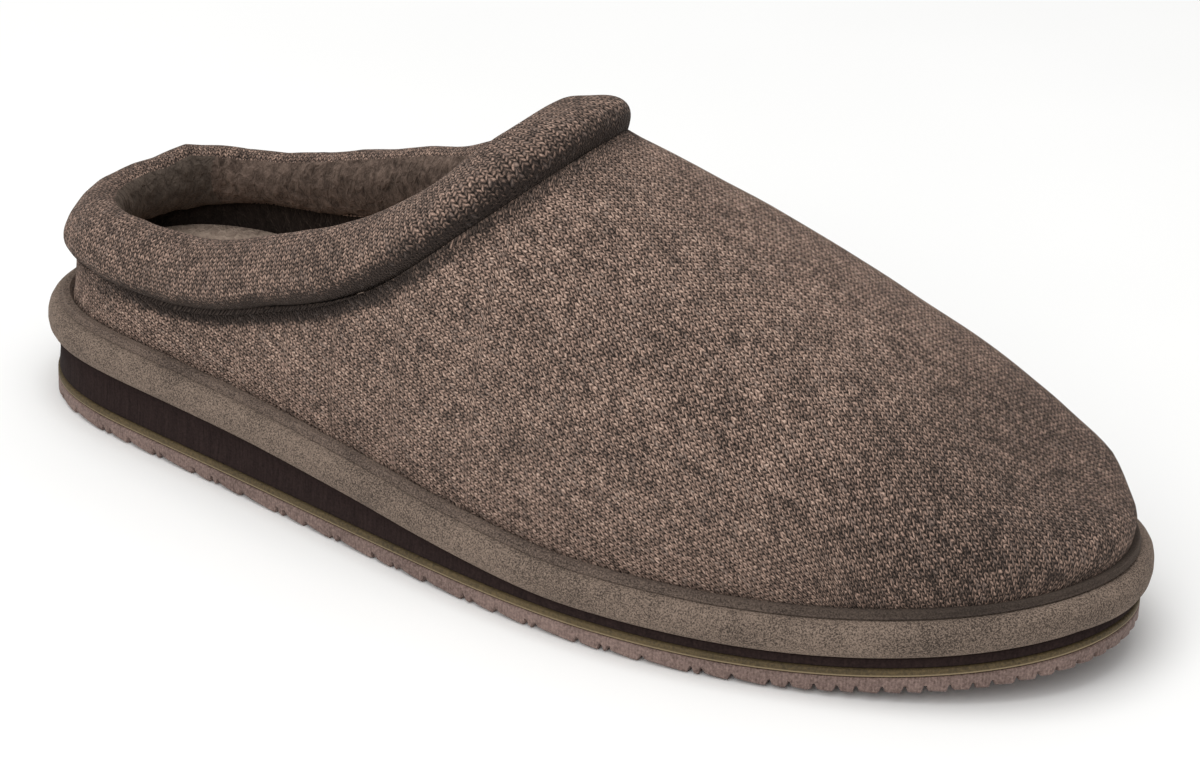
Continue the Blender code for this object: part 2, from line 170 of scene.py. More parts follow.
def heathered_knit(name, tone, skew, wale=1.55 * MM, course=1.25 * MM):
    """Wool jersey knitted from marled yarn, the wales 1.55 mm apart and the courses 1.25 mm.

    That gives small V stitches in pinkish taupe, brown and charcoal, with a dark line of pinholes between one
    wale and the next. tone is how light the yarn is, and skew how far a wale drifts sideways along its length.
    The cloth is painted darker at points that carry a shade value: painted shade below the roll and round the
    toe.
    """
    look, shader = start(name, Roughness=0.93, Specular_IOR_Level=0.18, Sheen_Weight=0.2, Sheen_Roughness=0.45)
    shader.inputs["Sheen Tint"].default_value = linear("#CDB3A3")
    cloth = add(look, "UVMap", uv_map="weave")["UV"]
    moved = cloth
    # The yarn is uneven and the cloth is stretched by hand, so no row runs quite straight.
    for scale, reach in ((190.0, 1.2 * MM), (620.0, 0.8 * MM)):
        sway = add(look, "TexNoise", {"Vector": cloth, "Scale": scale, "Detail": 1.0})["Color"]
        sway = add(look, "VectorMath", {0: sway, 1: (0.5, 0.5, 0.5)}, operation="SUBTRACT")["Vector"]
        sway = add(look, "VectorMath", {0: sway, "Scale": reach}, operation="SCALE")["Vector"]
        moved = add(look, "VectorMath", {0: moved, 1: sway}, operation="ADD")["Vector"]
    cell = add(look, "VectorMath", {0: moved, 1: (1 / wale, 1 / course, 1.0)}, operation="MULTIPLY")["Vector"]
    parts = add(look, "SeparateXYZ", {0: cell})
    drift = -skew * course / wale
    wales = add(look, "Math", {0: parts["Y"], 1: drift, 2: parts["X"]}, operation="MULTIPLY_ADD")["Value"]
    in_wale = add(look, "Math", {0: wales}, operation="FRACT")["Value"]
    off_middle = add(look, "Math", {0: in_wale, 1: 2.0, 2: -1.0}, operation="MULTIPLY_ADD")["Value"]
    off_middle = add(look, "Math", {0: off_middle}, operation="ABSOLUTE")["Value"]
    slanted = add(look, "Math", {0: off_middle, 1: 0.7, 2: parts["Y"]}, operation="MULTIPLY_ADD")["Value"]
    in_stitch = add(look, "Math", {0: slanted}, operation="FRACT")["Value"]
    leg = add(look, "Math", {0: in_stitch, 1: math.pi}, operation="MULTIPLY")["Value"]
    leg = add(look, "Math", {0: leg}, operation="SINE")["Value"]
    side = add(look, "Math", {0: off_middle, 1: math.pi}, operation="MULTIPLY")["Value"]
    side = add(look, "Math", {0: side}, operation="SINE")["Value"]
    side = add(look, "Math", {0: side, 1: 0.5, 2: 0.5}, operation="MULTIPLY_ADD")["Value"]
    # A stitch is two slanted legs, each thickest in its middle.
    swell = add(look, "Math", {0: leg, 1: side}, operation="MULTIPLY")["Value"]
    # Each leg of a V takes its own shade from the marled yarn.
    halves = add(look, "Math", {0: wales, 1: 2.0}, operation="MULTIPLY")["Value"]
    halves = add(look, "Math", {0: halves}, operation="FLOOR")["Value"]
    rows = add(look, "Math", {0: slanted}, operation="FLOOR")["Value"]
    stitch = add(look, "CombineXYZ", {"X": halves, "Y": rows})["Vector"]
    shade = add(look, "TexWhiteNoise", {"Vector": stitch}, noise_dimensions="2D")
    fibre = add(look, "TexNoise", {"Vector": cloth, "Scale": 2300.0, "Detail": 1.0, "Roughness": 0.7})["Fac"]
    cloud = add(look, "TexNoise", {"Vector": cloth, "Scale": 90.0, "Detail": 4.0, "Roughness": 0.75})["Fac"]
    along_yarn = add(look, "VectorMath", {0: cloth, 1: (0.6, 1.0, 1.0)}, operation="MULTIPLY")["Vector"]
    streak = add(look, "TexNoise", {"Vector": along_yarn, "Scale": 420.0, "Detail": 2.0})["Fac"]
    # Painted shade: a value the mesh carries in its creases and round the toe lowers the yarn's tone.
    painted_shade = add(look, "Attribute", attribute_name="painted_shade")["Fac"]
    tone = add(look, "Math", {0: painted_shade, 1: -0.85, 2: tone}, operation="MULTIPLY_ADD")["Value"]
    for value, weight in ((shade["Value"], 0.38), (cloud, 0.5), (streak, 0.3), (fibre, 0.75), (swell, 0.5)):
        tone = add(look, "Math", {0: value, 1: weight, 2: tone}, operation="MULTIPLY_ADD")["Value"]
        tone = add(look, "Math", {0: tone, 1: weight / 2}, operation="SUBTRACT")["Value"]
    shades = [(0.02, "#2B2421"), (0.22, "#54463E"), (0.42, "#826C60")]
    shades += [(0.60, "#A68B7C"), (0.80, "#C4AA99"), (1.0, "#E2CABA")]
    yarn = add(look, "ValToRGB", {0: tone}, stops=shades)["Color"]
    # One leg in twelve or so is of charcoal yarn.
    grey = add(look, "Math", {0: shade["Value"], 1: 0.92}, operation="GREATER_THAN")["Value"]
    grey = add(look, "Math", {0: grey, 1: 0.5}, operation="MULTIPLY")["Value"]
    yarn = add(look, "Mix", {0: grey, 6: yarn, 7: linear("#4E4744")}, data_type="RGBA")[2]
    # Shut where the yarn lies, open along the line beside a wale, and widest where two courses part there.
    shut = add(look, "Math", {0: off_middle, 1: -2.8, 2: 2.8}, operation="MULTIPLY_ADD")["Value"]
    shut = add(look, "Math", {0: leg, 1: 0.85, 2: shut}, operation="MULTIPLY_ADD")["Value"]
    limits = {0: shut, 1: 0.4, 2: 1.3, 3: 0.0, 4: 1.0}
    shut = add(look, "MapRange", limits, interpolation_type="SMOOTHSTEP")[0]
    colour = add(look, "Mix", {0: shut, 6: linear("#0E0A08"), 7: yarn}, data_type="RGBA")[2]
    relief = add(look, "Math", {0: fibre, 1: 0.5, 2: swell}, operation="MULTIPLY_ADD")["Value"]
    relief = add(look, "Math", {0: shut, 1: 0.6, 2: relief}, operation="MULTIPLY_ADD")["Value"]
    bump = add(look, "Bump", {"Strength": 0.9, "Distance": 0.45 * MM, "Height": relief})["Normal"]
    return dress(look, shader, colour, bump)


def brushed_fleece(name, light, dark):
    """Polyester fleece, looped and brushed: a short dull pile in soft curls 1.5 to 3 mm across."""
    look, shader = start(name, Roughness=1.0, Specular_IOR_Level=0.1, Sheen_Weight=0.3, Sheen_Roughness=0.6)
    shader.inputs["Sheen Tint"].default_value = linear("#B5A090")
    place = add(look, "TexCoord")["Object"]
    brushed = {"Vector": place, "Rotation": (0.0, 0.6, 0.3), "Scale": (1.0, 1.0, 0.6)}
    lean = add(look, "Mapping", brushed)["Vector"]
    clump = add(look, "TexNoise", {"Vector": lean, "Scale": 620.0, "Detail": 2.0, "Distortion": 0.6})["Fac"]
    cloud = add(look, "TexNoise", {"Vector": place, "Scale": 90.0, "Detail": 2.0})["Fac"]
    fibre = add(look, "TexNoise", {"Vector": lean, "Scale": 2400.0, "Detail": 2.0})["Fac"]
    tone = add(look, "Math", {0: cloud, 1: 0.4, 2: -0.65}, operation="MULTIPLY_ADD")["Value"]
    tone = add(look, "Math", {0: clump, 1: 1.4, 2: tone}, operation="MULTIPLY_ADD")["Value"]
    tone = add(look, "Math", {0: fibre, 1: 0.5, 2: tone}, operation="MULTIPLY_ADD")["Value"]
    colour = add(look, "ValToRGB", {0: tone}, stops=[(0.15, dark), (0.85, light)])["Color"]
    relief = add(look, "Math", {0: fibre, 1: 0.25, 2: clump}, operation="MULTIPLY_ADD")["Value"]
    bump = add(look, "Bump", {"Strength": 0.9, "Distance": 1.6 * MM, "Height": relief})["Normal"]
    return dress(look, shader, colour, bump)


def split_suede(name, light, dark, toe=None):
    """Split cowhide, buffed to a nap: dull and speckled, with cloudy patches where the nap lies over.

    Where toe is given, the suede is drawn towards that darker colour round the toe: painted shade.
    """
    look, shader = start(name, Roughness=0.95, Specular_IOR_Level=0.15, Sheen_Weight=0.2, Sheen_Roughness=0.5)
    shader.inputs["Sheen Tint"].default_value = linear("#C6B1A1")
    place = add(look, "TexCoord")["Object"]
    speck = add(look, "TexNoise", {"Vector": place, "Scale": 2500.0, "Detail": 2.0, "Roughness": 0.8})["Fac"]
    cloud = add(look, "TexNoise", {"Vector": place, "Scale": 60.0, "Detail": 4.0, "Roughness": 0.55})["Fac"]
    tone = add(look, "Math", {0: cloud, 1: 0.9, 2: -1.6}, operation="MULTIPLY_ADD")["Value"]
    tone = add(look, "Math", {0: speck, 1: 3.3, 2: tone}, operation="MULTIPLY_ADD")["Value"]
    colour = add(look, "ValToRGB", {0: tone}, stops=[(0.1, dark), (0.9, light)])["Color"]
    if toe:
        # Painted shade: darker round the toe.
        ahead = add(look, "SeparateXYZ", {0: place})["X"]
        painted_toe_shade = add(look, "MapRange", {0: ahead, 1: 0.03, 2: 0.125, 3: 0.0, 4: 0.75})[0]
        colour = add(look, "Mix", {0: painted_toe_shade, 6: colour, 7: linear(toe)}, data_type="RGBA")[2]
    bump = add(look, "Bump", {"Strength": 0.7, "Distance": 0.3 * MM, "Height": speck})["Normal"]
    return dress(look, shader, colour, bump)


def moulded_foam(name):
    """EVA foam, cut and skived: nearly black brown, dull, with faint upright saw marks."""
    look, shader = start(name, Roughness=1.0, Specular_IOR_Level=0.12)
    cloth = add(look, "UVMap", uv_map="weave")["UV"]
    drawn = add(look, "VectorMath", {0: cloth, 1: (1.0, 0.12, 1.0)}, operation="MULTIPLY")["Vector"]
    marks = add(look, "TexNoise", {"Vector": drawn, "Scale": 1500.0, "Detail": 2.0})["Fac"]
    place = add(look, "TexCoord")["Object"]
    cells = add(look, "TexNoise", {"Vector": place, "Scale": 1800.0, "Detail": 2.0})["Fac"]
    tone = add(look, "Math", {0: marks, 1: 0.5}, operation="MULTIPLY")["Value"]
    tone = add(look, "Math", {0: cells, 1: 0.5, 2: tone}, operation="MULTIPLY_ADD")["Value"]
    colour = add(look, "ValToRGB", {0: tone}, stops=[(0.3, "#1C1413"), (0.7, "#342826")])["Color"]
    bump = add(look, "Bump", {"Strength": 0.3, "Distance": 0.2 * MM, "Height": tone})["Normal"]
    return dress(look, shader, colour, bump)


def moulded_rubber(name, light, dark, ribs, flash=None):
    """Moulded rubber, dull from the mould, with fine upright ribs 0.75 mm apart on its side.

    ribs is how strong they are, and flash the colour of the half millimetre at the foot where the mould closed.
    """
    look, shader = start(name, Roughness=0.7, Specular_IOR_Level=0.3)
    cloth = add(look, "UVMap", uv_map="weave")["UV"]
    place = add(look, "TexCoord")["Object"]
    grain = add(look, "TexNoise", {"Vector": place, "Scale": 1500.0, "Detail": 3.0, "Roughness": 0.65})["Fac"]
    cloud = add(look, "TexNoise", {"Vector": place, "Scale": 45.0, "Detail": 3.0})["Fac"]
    along = add(look, "SeparateXYZ", {0: cloth})
    wave = add(look, "Math", {0: along["X"], 1: 2 * math.pi / (0.75 * MM)}, operation="MULTIPLY")["Value"]
    wave = add(look, "Math", {0: wave}, operation="SINE")["Value"]
    tone = add(look, "Math", {0: cloud, 1: 0.7, 2: -0.65}, operation="MULTIPLY_ADD")["Value"]
    tone = add(look, "Math", {0: grain, 1: 1.6, 2: tone}, operation="MULTIPLY_ADD")["Value"]
    tone = add(look, "Math", {0: wave, 1: 0.1 * ribs, 2: tone}, operation="MULTIPLY_ADD")["Value"]
    colour = add(look, "ValToRGB", {0: tone}, stops=[(0.15, dark), (0.85, light)])["Color"]
    if flash:
        foot = add(look, "MapRange", {0: along["Y"], 1: 0.45 * MM, 2: 0.8 * MM, 3: 0.8, 4: 0.0})[0]
        colour = add(look, "Mix", {0: foot, 6: colour, 7: linear(flash)}, data_type="RGBA")[2]
    relief = add(look, "Math", {0: wave, 1: 0.6 * ribs, 2: grain}, operation="MULTIPLY_ADD")["Value"]
    bump = add(look, "Bump", {"Strength": 0.5, "Distance": 0.2 * MM, "Height": relief})["Normal"]
    return dress(look, shader, colour, bump)


# ---------------------------------------------------------------- reading the solids
def quads_of(node):
    """A merged copy of a node's mesh, its triangles joined back to the four-sided faces they were cut from."""
    bm = bmesh.new()
    bm.from_mesh(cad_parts[node].data)
    bmesh.ops.remove_doubles(bm, verts=bm.verts, dist=1e-6)
    # The limits are wide, because a loft's faces bend between their corners.
    bmesh.ops.join_triangles(
        bm, faces=bm.faces, angle_face_threshold=3.1, angle_shape_threshold=3.0, topology_influence=2.0
    )
    return bm


LONGEST_LAP = 2000


def lap(vert, edge):
    """The vertices passed by going straight on from this one along this edge, until it comes round again."""
    path = [vert]
    there = edge.other_vert(vert)
    while there is not vert and len(path) < LONGEST_LAP:
        path.append(there)
        beside = set(edge.link_faces)
        edge = next(e for e in there.link_edges if not beside & set(e.link_faces))
        there = edge.other_vert(there)
    return path


def ring_grid(node, first):
    """Points of a ring-shaped solid: [round the slipper from the heel by the lateral side][round its section].

    first picks the vertex of the heel's section where the count starts. From there the count goes up.
    """
    bm = quads_of(node)
    heel = min(bm.verts, key=lambda v: v.co.x)
    laps = [lap(heel, e) for e in heel.link_edges]
    section = min(laps, key=len)
    start_at = first(section)
    laps = [(lap(start_at, e), e) for e in start_at.link_edges]
    longest = max(len(path) for path, _ in laps)
    way, _ = min((pair for pair in laps if len(pair[0]) == longest), key=lambda pair: pair[0][1].co.y)
    _, edge = max((pair for pair in laps if len(pair[0]) < longest), key=lambda pair: pair[0][1].co.z)
    grid = []
    for here, there in zip(way, way[1:] + way[:1]):
        grid.append([tuple(v.co) for v in lap(here, edge)])
        step = next(e for e in here.link_edges if e.other_vert(here) is there)
        face = next(f for f in step.link_faces if edge in f.edges)
        edge = next(e for e in there.link_edges if e in list(face.edges) and e is not step)
    bm.free()
    return np.array(grid)


def finer(points, count):
    """A closed curve, or a set of them side by side, drawn smoothly with more points."""
    waves = np.fft.rfft(points, axis=0)
    padded = np.zeros((count // 2 + 1,) + points.shape[1:], complex)
    padded[: len(waves)] = waves
    return np.fft.irfft(padded, n=count, axis=0) * count / len(points)


def finer_open(points, count, axis):
    """An open curve drawn smoothly through its points with more points."""
    points = np.moveaxis(points, axis, 0)
    held = np.concatenate([2 * points[:1] - points[1:2], points, 2 * points[-1:] - points[-2:-1]])
    at = np.linspace(0, len(points) - 1, count)
    i = np.minimum(at.astype(int), len(points) - 2)
    t = (at - i).reshape((-1,) + (1,) * (points.ndim - 1))
    a, b, c, d = held[i], held[i + 1], held[i + 2], held[i + 3]
    out = 0.5 * (2 * b + (c - a) * t + (2 * a - 5 * b + 4 * c - d) * t**2 + (3 * b - a - 3 * c + d) * t**3)
    return np.moveaxis(out, 0, axis)


STATIONS = 1536
HALF = STATIONS // 2

# The foot of the welt strip follows the sole's outline 3.7 mm in from its edge, on the platform's top.
STRIP = ring_grid("welt_strip", lambda ring: max(ring, key=lambda v: round(v.co.x - 2 * v.co.z, 7)))
FOOT = finer(STRIP[:, 0], STATIONS)
# Level directions at each station, round the sole and outward, then the outline and the way gone round it.
WAY = np.roll(FOOT[:, :2], -1, axis=0) - np.roll(FOOT[:, :2], 1, axis=0)
WAY /= np.linalg.norm(WAY, axis=1, keepdims=True)
OUT = np.stack([WAY[:, 1], -WAY[:, 0]], 1)
OUT *= np.sign((OUT * FOOT[:, :2]).sum())
EDGE = FOOT[:, :2] + OUT * STRIP_INSET
STEPS = np.linalg.norm(np.roll(EDGE, -1, axis=0) - EDGE, axis=1)
ROUND = np.concatenate([[0], np.cumsum(STEPS)])


def spot_heights():
    """Heights of the thin olive layer along the slipper, as rows of x, underside and top."""
    spots = {}
    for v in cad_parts["outsole_rim"].data.vertices:
        spots.setdefault((round(v.co.x, 4), round(v.co.y, 4)), []).append(v.co.z)
    rows = sorted((x, min(z), max(z)) for (x, y), z in spots.items())
    return np.array(rows)


RIM = spot_heights()


def rim_foot(x):
    return np.interp(x, RIM[:, 0], RIM[:, 1])


def rim_top(x):
    return np.interp(x, RIM[:, 0], RIM[:, 2])


def tread(x):
    """Height of the tread above the floor: nothing up to the ball, then the toe spring."""
    return np.maximum(rim_foot(x) - GAP - RUBBER_THICK, 0)


def platform_top(x):
    return np.interp(x, FOOT[: HALF + 1, 0], FOOT[: HALF + 1, 2]) - GAP


def foam_top(x):
    return platform_top(x) - BAND_HEIGHT


# ---------------------------------------------------------------- making meshes
def put(name, bm, looks):
    """A smoothly shaded object from this mesh, with these materials."""
    mesh = bpy.data.meshes.new(name)
    bm.to_mesh(mesh)
    bm.free()
    for look in looks:
        mesh.materials.append(look)
    mesh.shade_smooth()
    piece = bpy.data.objects.new(name, mesh)
    bpy.context.scene.collection.objects.link(piece)
    return piece


def cover(points, weave, look_of=None, painted_shade=None, drawn=None):
    """A grid laid over these points, [round][across], with weave as its places on the cloth in metres.

    look_of gives a face's material from its row, the next argument the painted shade of each point, from 0 to
    1, and drawn how far draw_in() moves it once the cloth is laid.
    """
    count, rows = points.shape[:2]
    bm = bmesh.new()
    bmesh.ops.create_grid(bm, x_segments=rows - 1, y_segments=count - 1, size=1.0)
    bm.verts.ensure_lookup_table()
    spots = points.reshape(-1, 3)
    where = weave.reshape(-1, 2)
    for vert, spot in zip(bm.verts, spots):
        vert.co = spot
    # Painted shade: how much darker the knit is drawn at each point.
    if painted_shade is not None:
        depth = bm.verts.layers.float.new("painted_shade")
        for vert, value in zip(bm.verts, painted_shade.ravel()):
            vert[depth] = value
    if drawn is not None:
        pull = bm.verts.layers.float_vector.new("drawn")
        for vert, value in zip(bm.verts, drawn.reshape(-1, 3)):
            vert[pull] = value
    layer = bm.loops.layers.uv.new("weave")
    for face in bm.faces:
        for corner in face.loops:
            corner[layer].uv = where[corner.vert.index]
        if look_of:
            face.material_index = look_of(min(v.index for v in face.verts) % rows)
    bmesh.ops.remove_doubles(bm, verts=bm.verts, dist=SAME_SPOT)
    bmesh.ops.recalc_face_normals(bm, faces=bm.faces)
    return bm


def draw_in(bm):
    """Moves each point as cover() was told to in drawn."""
    pull = bm.verts.layers.float_vector["drawn"]
    for vert in bm.verts:
        vert.co += vert[pull]
    bm.verts.layers.float_vector.remove(pull)


def layer_rows(rows):
    """Points of a sole layer from rows of (inset, height), and their places round and across it."""
    points = []
    for inset, height in rows:
        plan = EDGE - OUT * np.reshape(inset * np.ones(STATIONS), (-1, 1))
        points.append(np.column_stack([plan, height(plan[:, 0]) if callable(height) else height]))
    points = np.array(points)
    steps = np.linalg.norm(np.diff(points, axis=0), axis=2).mean(axis=1)
    across = np.concatenate([[0], np.cumsum(steps)])
    points = np.concatenate([points, points[:, :1]], axis=1).transpose(1, 0, 2)
    weave = np.stack(np.meshgrid(ROUND, across, indexing="ij"), -1)
    return points, weave


SPINE_SHORT = 0.034


def spine(ring):
    """The line down the middle on which a ring's two sides meet, point for point, short of heel and toe."""
    far = np.roll(ring[::-1], 1, axis=0)
    line = (ring + far) / 2
    low, high = ring[:, 0].min() + SPINE_SHORT, ring[:, 0].max() - SPINE_SHORT
    line[:, 0] = np.clip(line[:, 0], low, high)
    return line


def lid(points, weave, height, shares=(0.12, 0.4, 0.7, 1.0)):
    """Adds the flat from the last row in to the middle line, with a row at each share of the way."""
    ring = points[:-1, -1]
    line = spine(ring)
    extra, places = [], []
    for share in shares:
        row = ring * (1 - share) + line * share
        row[:, 2] = height(row[:, 0])
        extra.append(np.vstack([row, row[:1]]))
        places.append(np.stack([ROUND, weave[:, -1, 1] + share * 0.04], -1))
    return (
        np.concatenate([points, np.array(extra).transpose(1, 0, 2)], axis=1),
        np.concatenate([weave, np.array(places).transpose(1, 0, 2)], axis=1),
    )


def both_lids(rows, low, high):
    """A closed layer: its rows from underside to top, with both faces filled in to the middle line."""
    points, weave = layer_rows(rows)
    points, weave = lid(points, weave, high)
    points, weave = lid(points[:, ::-1], weave[:, ::-1], low)
    return points, weave


def ride(piece, node):
    """Puts a piece on the slipper's one body, in the place of a solid."""
    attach(piece, "root")
    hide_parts(node)


def soft_noise(points, size, seed):
    """A smooth random value from about -1 to 1 at each point."""
    shift = Vector((seed, 0, 0))
    values = [noise.noise(Vector(p) / size + shift) for p in points.reshape(-1, 3)]
    return np.array(values).reshape(points.shape[:-1])


# ---------------------------------------------------------------- sole
# Lengths of the lugs one after another, and how high the notch after each goes, in mm.
LUGS = (9.2, 2.4, 11.8, 6.4, 2.1, 8.6, 12.4, 2.6, 7.2)
TOE_LUGS = (5.3, 4.6, 5.9)
TOE_LUGS_FROM = 0.080
NOTCHES = (2.3, 1.6, 2.0, 1.7)
BARS = 56


def make_outsole():
    """Rubber sole with uneven lugs: long ones and small teeth by turns, and short even ones round the toe."""
    arc = ROUND[:-1]
    total = ROUND[-1]
    lift = np.zeros(STATIONS)
    bite = np.zeros(STATIONS)
    at, k = 0.0, 0
    while at < total - 4 * MM:
        lugs = TOE_LUGS if np.interp(at, arc, EDGE[:, 0]) > TOE_LUGS_FROM else LUGS
        length = lugs[k % len(lugs)] * MM
        if at + length > total - 5 * MM:
            length = total - at
        inside = (arc >= at) & (arc < at + length)
        t = (arc[inside] - at) / length
        gap = np.minimum(arc[inside] - at, at + length - arc[inside])
        notch = np.clip(1.25 - gap / (0.62 * MM), 0, 1)
        slope = min(length / (9 * MM), 1) * 0.9 * MM * (1 - t) ** 1.4
        lift[inside] = np.maximum(slope, NOTCHES[k % len(NOTCHES)] * MM * notch)
        bite[inside] = 0.3 * MM * np.clip(1 - gap / (1.8 * MM), 0, 1) ** 1.5
        at += length
        k += 1
    # Bars across the tread, below the heel and below the ball.
    bar = np.sin(2 * np.pi * arc / (total / BARS)) > -0.25
    bar = bar & np.roll(bar[::-1], 1)
    share = (EDGE[:, 0] - EDGE[:, 0].min()) / np.ptp(EDGE[:, 0])
    bar = bar & (((share > 0.07) & (share < 0.36)) | ((share > 0.52) & (share < 0.93)))
    bars = np.where(bar, 0.0, LUG_DEPTH)

    def above(rise):
        return lambda x: tread(x) + rise

    # From the top edge down the side, round the lugs' ends, and in over the tread.
    rows = [
        (0.0004, lambda x: rim_foot(x) - GAP),
        (0.0, lambda x: rim_foot(x) - GAP - 0.0004),
        (bite * 0.4, above(0.0022)),
        (bite, above(lift + 0.0007)),
        (bite + 0.0005, above(lift + 0.00015)),
        (bite + 0.0012, above(lift)),
        (0.0088, above(lift)),
        (0.0092, above(LUG_DEPTH)),
        (0.0112, above(LUG_DEPTH)),
        (0.0116, above(bars)),
    ]
    points, weave = layer_rows(rows)
    points, weave = lid(points, weave, above(bars), shares=(0.5, 1.0))
    points, weave = lid(points[:, ::-1], weave[:, ::-1], lambda x: rim_foot(x) - GAP)
    bm = cover(points, weave)
    look = moulded_rubber("moulded_rubber_mauve", "#927C74", "#574640", 0.5)
    piece = put("rubber_outsole", bm, [look])
    piece.data.set_sharp_from_angle(angle=math.radians(38))
    ride(piece, "outsole")


def make_rim():
    """Thin olive rubber layer, its two edges just broken."""
    rows = [
        (0.0003, rim_foot),
        (0.0, lambda x: rim_foot(x) + 0.0003),
        (0.0, lambda x: rim_top(x) - 0.0003),
        (0.0003, rim_top),
    ]
    bm = cover(*both_lids(rows, rim_foot, rim_top))
    look = moulded_rubber("moulded_rubber_olive", "#655539", "#3B3120", 0.0, "#A08E70")
    piece = put("olive_rubber_layer", bm, [look])
    ride(piece, "outsole_rim")


def make_midsole():
    """Foam wedge, pulled in a little under the platform."""
    rows = [
        (0.0006, lambda x: rim_top(x) + GAP),
        (0.0004, lambda x: rim_top(x) + GAP + 0.0003),
        (0.0007, lambda x: (rim_top(x) + foam_top(x)) / 2),
        (0.0005, lambda x: foam_top(x) - 0.0003),
        (0.0009, foam_top),
    ]
    bm = cover(*both_lids(rows, lambda x: rim_top(x) + GAP, foam_top))
    piece = put("foam_wedge", bm, [moulded_foam("eva_foam")])
    ride(piece, "midsole")


# Shares of the band's overhang and of its height, from the underside up.
BAND_EDGE = [(-0.40, 0.00), (0.20, 0.03), (0.55, 0.10), (0.86, 0.24), (1.00, 0.42), (0.98, 0.60)]
BAND_EDGE += [(0.85, 0.75), (0.60, 0.87), (0.30, 0.94), (-0.10, 0.985), (-0.60, 1.00)]


def make_platform(suede):
    """Suede drawn over a board: a full round edge that rolls over to a flat top."""
    rows = []
    for out, up in BAND_EDGE:
        rows.append((-BAND_OVERHANG * out, lambda x, up=up: foam_top(x) + GAP + (BAND_HEIGHT - GAP) * up))
    bm = cover(*both_lids(rows, lambda x: foam_top(x) + GAP, platform_top))
    piece = put("suede_platform", bm, [suede])
    ride(piece, "platform")


def make_strip(suede):
    """Folded suede strip that stands round the foot of the upper."""
    fine = finer(finer(STRIP, STATIONS // 2).transpose(1, 0, 2), 24).transpose(1, 0, 2)
    # It lies down and fades into the platform away from the toe.
    base = fine[..., 2].min(axis=1, keepdims=True)
    flat = 1 - np.clip((fine[:, :1, 0] - 0.035) / 0.07, 0, 1)
    rise = (fine[..., 2] - base) / STRIP_TALL
    fine[..., 2] = base + (fine[..., 2] - base) * (0.68 - 0.15 * flat)
    outward = np.concatenate([OUT[::2], np.zeros((HALF, 1))], axis=1)[:, None]
    reach = ((fine - fine[:, :1]) * outward).sum(axis=2) / STRIP_WIDE
    spread = 1.5 * MM * flat * np.clip(1 - rise / 0.5, 0, 1) * np.clip(reach, 0, 1)
    fine += outward * spread[..., None]
    # Its foot is pressed into the platform's nap.
    fine[..., 2] -= 0.5 * MM * np.clip(1 - rise / 0.3, 0, 1)
    fine = np.concatenate([fine, fine[:1]])
    fine = np.concatenate([fine, fine[:, :1]], axis=1)
    weave = np.stack(np.meshgrid(ROUND[::2], np.linspace(0, 0.009, 25), indexing="ij"), -1)
    bm = cover(fine, weave)
    piece = put("suede_welt_strip", bm, [suede])
    ride(piece, "welt_strip")


# How far in, and shares of the footbed's thickness and of the depth of its cup, from the underside up.
FOOTBED_EDGE = [(0.0, 0.05, 0), (0.0, 0.8, 0), (0.0006, 1.2, 0)]
FOOTBED_EDGE += [(0.002, 1.4, 0), (0.006, 1.35, 0.5), (0.012, 1.3, 1.0)]


def make_insole(look):
    """Cupped footbed with a soft edge."""
    rows = []
    for inset, up, sunk in FOOTBED_EDGE:
        rise = GAP + INSOLE_THICK * up - INSOLE_CUP * sunk
        rows.append((INSOLE_EDGE + inset, lambda x, rise=rise: platform_top(x) + rise))
    top = GAP + INSOLE_THICK * 1.3 - INSOLE_CUP
    bm = cover(*both_lids(rows, lambda x: platform_top(x) + GAP, lambda x: platform_top(x) + top))
    piece = put("footbed", bm, [look])
    ride(piece, "insole")


# ---------------------------------------------------------------- upper
def middle(x):
    """Sideways place of the foot's middle line."""
    t = np.clip((x + 0.015) / 0.165, 0, 1)
    return EDGE[0, 1] + (EDGE[HALF, 1] - EDGE[0, 1]) * t**2 * (3 - 2 * t)


# Stations on a flank: degrees round the front hub to 90, then mm along the foot, then degrees round the heel.
FRONT_HUB = 0.095
BACK_HUB = -0.095
STRAIGHT = (FRONT_HUB - BACK_HUB) / MM
MOUTH_FRONT = 0.012
# The hubs lie this far below the platform's top, so that the lowest rows fan out too.
HUB_DROP = 0.020


def flank_frame(points, side):
    """Where points lie on one flank: the station from toe to heel, and the angle up from the platform's edge.

    Stations fan out over the toe, run straight along the foot, and fan round the heel.
    """
    x = points[..., 0]
    off = np.maximum(side * (points[..., 1] - middle(np.clip(x, BACK_HUB, FRONT_HUB))), 0)
    base = platform_top(np.clip(x, BACK_HUB, FRONT_HUB)) - HUB_DROP
    rise = points[..., 2] - base
    ahead = np.maximum(x - FRONT_HUB, 0)
    behind = np.maximum(BACK_HUB - x, 0)
    fan = np.degrees(np.arctan2(np.maximum(rise, 1e-9), ahead))
    turn = np.degrees(np.arctan2(behind, np.maximum(off, 1e-9)))
    station = np.where(x < BACK_HUB, 90 + STRAIGHT + turn, 90 + (FRONT_HUB - x) / MM)
    station = np.where(x > FRONT_HUB, fan, station)
    angle = np.degrees(np.arctan2(np.hypot(rise, ahead), np.hypot(off, behind)))
    return station, np.clip(angle, 0, 90)


def flank_ray(station, angle, side):
    """Start and direction of the ray that flank_frame counts by."""
    a = math.radians(angle)
    if station < 90:
        f = math.radians(station)
        hub = FRONT_HUB
        up = Vector((math.cos(f), 0, math.sin(f)))
        out = Vector((0, side, 0))
    elif station <= 90 + STRAIGHT:
        hub = FRONT_HUB - (station - 90) * MM
        up = Vector((0, 0, 1))
        out = Vector((0, side, 0))
    else:
        hub = BACK_HUB
        turn = math.radians(station - 90 - STRAIGHT)
        up = Vector((0, 0, 1))
        out = Vector((-math.sin(turn), side * math.cos(turn), 0))
    origin = Vector((hub, float(middle(hub)), float(platform_top(hub)) - HUB_DROP))
    return origin, out * math.cos(a) + up * math.sin(a)


